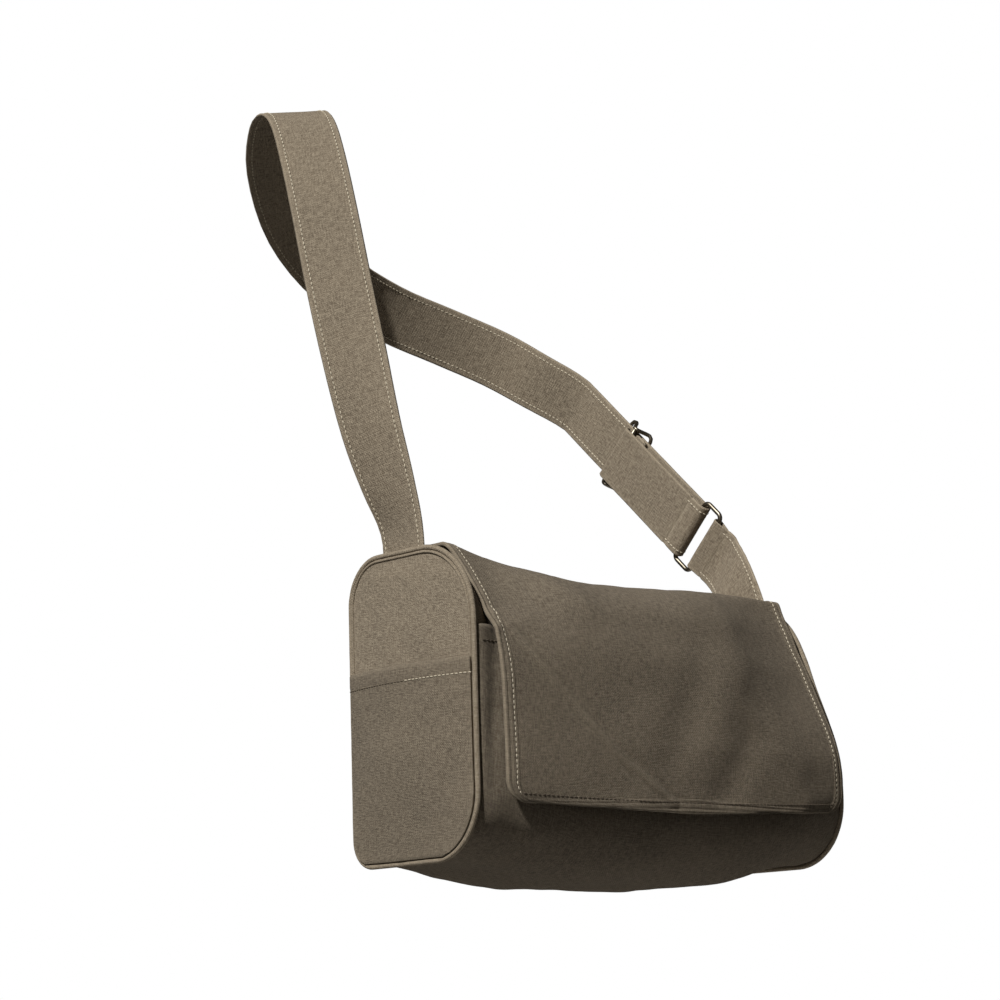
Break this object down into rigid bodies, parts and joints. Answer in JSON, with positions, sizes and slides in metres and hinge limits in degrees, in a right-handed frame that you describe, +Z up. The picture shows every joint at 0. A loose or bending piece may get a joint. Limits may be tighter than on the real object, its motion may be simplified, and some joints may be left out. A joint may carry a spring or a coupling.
{
  "type": "messenger bag",
  "caption": "Canvas messenger bag with a zipped mouth, a fold-over front flap, front and side slip pockets and one wide shoulder strap with a ring and a sliding adjuster.",
  "frame": {"origin": "underside of the strap where it crosses the wearer's shoulder", "axes": "+Z up as the bag hangs, +X along the bag's width towards the strap's ring end, -Y out of the flap's front"},
  "size_m": [0.4341, 0.4221, 0.642],
  "materials": {
    "canvas": "heavy waxed canvas, dry, slightly worn at the folds",
    "facing": "plain canvas",
    "lining": "smooth plain weave",
    "zip_tape": "fine woven tape",
    "metal": "antique, brushed"
  },
  "bodies": {
    "strap": {"strap_long": "canvas", "strap_tab": "canvas", "strap_ring": "metal", "strap_return": "canvas"},
    "adjuster": {"strap_adjuster": "metal"},
    "bag": {"body_shell": "canvas", "front_wall": "canvas", "back_facing": "canvas", "end_panel_left": "canvas", "end_panel_right": "canvas", "end_piping_left": "canvas", "end_piping_right": "canvas", "side_pocket_left": "canvas", "side_pocket_right": "canvas", "top_gusset_left": "canvas", "top_gusset_right": "canvas", "lining_wrap": "lining", "lining_end_left": "lining", "lining_end_right": "lining", "inner_pocket": "lining", "snap_socket_left": "metal", "snap_socket_right": "metal"},
    "mouth_front": {"mouth_band_front": "canvas", "zip_tape_front": "zip_tape"},
    "mouth_back": {"mouth_band_back": "canvas", "zip_tape_back": "zip_tape"},
    "slider": {"zip_slider": "metal"},
    "pull": {"zip_pull": "metal"},
    "flap": {"flap_panel": "canvas", "flap_facing": "facing", "snap_stud_left": "metal", "snap_stud_right": "metal"}
  },
  "joints": [
    {"name": "bag_swing", "type": "hinge", "parent": "strap", "child": "bag", "pos_m": [0.1875, -0.164, -0.4017], "axis": [1, 0, 0], "range_deg": [-10, 10]},
    {"name": "adjuster_slide", "type": "slide", "parent": "strap", "child": "adjuster", "axis": [0.1203, -0.6919, -0.7119], "range_m": [0, 0.06], "deforming": ["strap_return"]},
    {"name": "mouth_front_fold", "type": "hinge", "parent": "bag", "child": "mouth_front", "pos_m": [0.1875, -0.1605, -0.4122], "axis": [-1, 0, 0], "range_deg": [0, 80]},
    {"name": "mouth_back_fold", "type": "hinge", "parent": "bag", "child": "mouth_back", "pos_m": [0.1875, -0.1085, -0.4122], "axis": [1, 0, 0], "range_deg": [0, 80]},
    {"name": "zip_slide", "type": "slide", "parent": "bag", "child": "slider", "axis": [-1, 0, 0], "range_m": [0, 0.316]},
    {"name": "pull_hinge", "type": "hinge", "parent": "slider", "child": "pull", "pos_m": [0.364, -0.1355, -0.40715], "axis": [-1, 0, 0], "range_deg": [0, 175]},
    {"name": "flap_hinge", "type": "hinge", "parent": "bag", "child": "flap", "pos_m": [0.1875, -0.0775, -0.3982], "axis": [-1, 0, 0], "range_deg": [0, 110]}
  ],
  "couplings": [
    {"joint": "mouth_back_fold", "follows": "mouth_front_fold", "ratio": 1}
  ]
}
